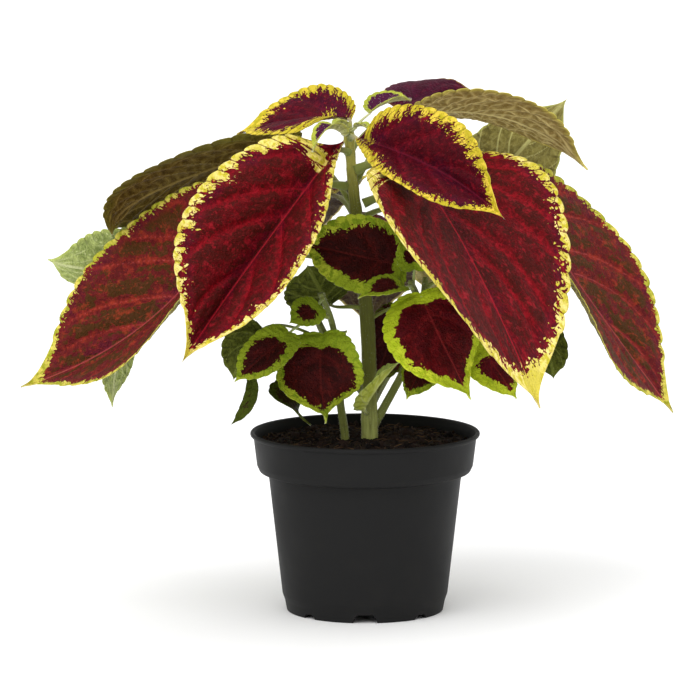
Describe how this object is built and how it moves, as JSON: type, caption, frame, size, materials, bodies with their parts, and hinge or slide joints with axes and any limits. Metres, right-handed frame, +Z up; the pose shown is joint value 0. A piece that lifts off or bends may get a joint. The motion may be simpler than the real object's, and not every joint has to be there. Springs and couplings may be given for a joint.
{
  "type": "potted coleus",
  "caption": "Bushy coleus with large scalloped burgundy leaves edged in yellow, rooted in soil in a round black nursery pot.",
  "frame": {"origin": "centre of the plant's bounding box, on the surface that the pot stands on", "axes": "+Z up from the surface, +X to the right and along the plant's widest spread, -Y towards the side the plant is seen from"},
  "size_m": [0.3434, 0.253, 0.2734],
  "materials": {
    "pot": "black, slightly satin thin plastic",
    "soil": "dark crumbly peat",
    "stem": "matt green stem with fine hairs",
    "leaf_red": "soft matt burgundy leaf, yellow scalloped margin",
    "leaf_lime": "soft matt lime leaf, dark maroon centre",
    "leaf_green": "soft matt pale green leaf underside"
  },
  "bodies": {
    "root": {"pot": "pot", "soil": "soil", "stem_main": "stem", "shoot_left": "stem", "shoot_right": "stem", "shoot_back_right": "stem", "shoot_back_left": "stem", "leaf_front_left": "leaf_red", "leaf_front_right": "leaf_red", "leaf_top_right": "leaf_red", "leaf_top_left": "leaf_red", "leaf_top_back": "leaf_red", "leaf_right_arching": "leaf_red", "leaf_left_arching": "leaf_red", "leaf_far_right": "leaf_red", "leaf_far_left": "leaf_red", "leaf_right_pale": "leaf_green", "leaf_left_pale": "leaf_green", "leaf_left_hanging": "leaf_green", "leaf_back_left": "leaf_red", "leaf_back_right": "leaf_red", "leaf_back_middle": "leaf_red", "leaf_middle": "leaf_lime", "leaf_shoot_right_low": "leaf_lime", "leaf_shoot_right_high": "leaf_lime", "leaf_low_right": "leaf_lime", "leaf_low_left": "leaf_lime", "leaf_shoot_left_low": "leaf_lime", "leaf_shoot_left_high": "leaf_lime", "leaf_strap": "leaf_green", "leaf_low_left_back": "leaf_green", "leaf_left_dark": "leaf_green", "leaf_stem_left": "leaf_green", "leaf_base_right": "leaf_lime", "leaf_right_dark": "leaf_lime", "leaf_right_shaded": "leaf_green", "leaf_stem_front": "leaf_lime", "leaf_top_young_left": "leaf_red", "leaf_top_young_right": "leaf_red", "leaf_bud_left": "leaf_green", "leaf_bud_right": "leaf_green", "leaf_back_low_right": "leaf_lime", "leaf_back_low_left": "leaf_lime", "leaf_back_base_right": "leaf_lime", "leaf_back_base_left": "leaf_lime"}
  },
  "joints": []
}
